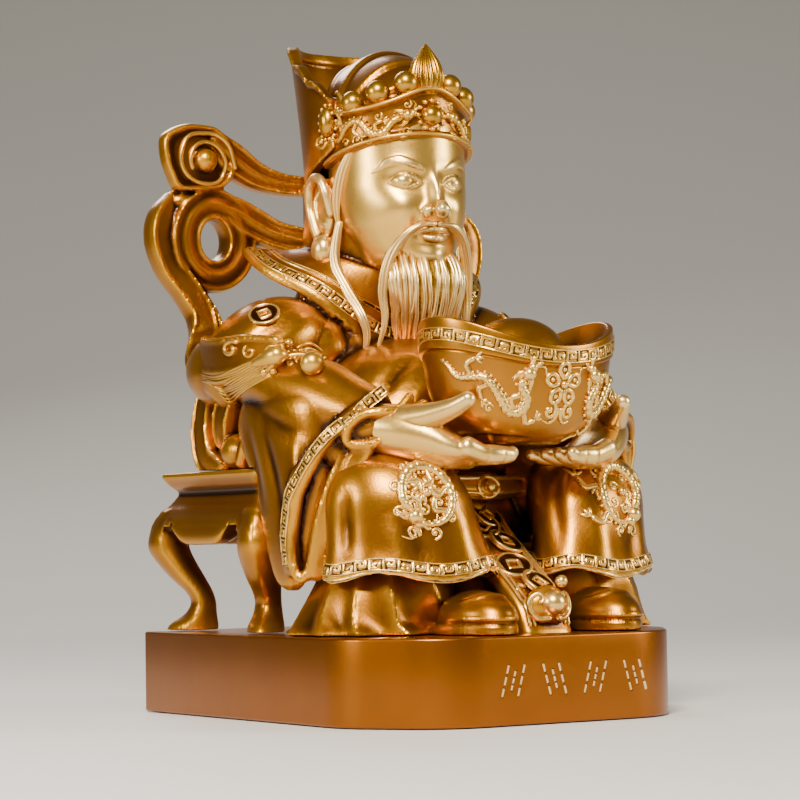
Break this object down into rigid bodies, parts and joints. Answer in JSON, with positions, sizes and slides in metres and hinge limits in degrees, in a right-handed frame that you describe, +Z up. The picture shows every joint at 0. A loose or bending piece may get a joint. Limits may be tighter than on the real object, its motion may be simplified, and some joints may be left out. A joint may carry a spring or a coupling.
{
  "type": "caishen figure",
  "caption": "Seated god-of-wealth table figure in bronze-gold finish, on a stool and a block plinth, holding a boat-shaped ingot.",
  "frame": {"origin": "on the plinth's underside, below the figure's middle and 7 mm from the middle of the plinth's width", "axes": "+Z up; the figure faces -Y; its own right hand is towards -X"},
  "size_m": [0.1941, 0.2178, 0.3228],
  "materials": {
    "plinth_paint": "satin bronze-gold metallic paint over a cast body",
    "stool_paint": "satin bronze-gold metallic paint over a cast body",
    "figure_paint": "satin bronze-gold metallic paint with pale gold on skin, beard and raised borders",
    "ingot_paint": "satin bronze-gold metallic paint with pale gold raised borders"
  },
  "bodies": {
    "root": {"plinth": "plinth_paint", "stool": "stool_paint", "figure": "figure_paint", "ingot": "ingot_paint"}
  },
  "joints": []
}
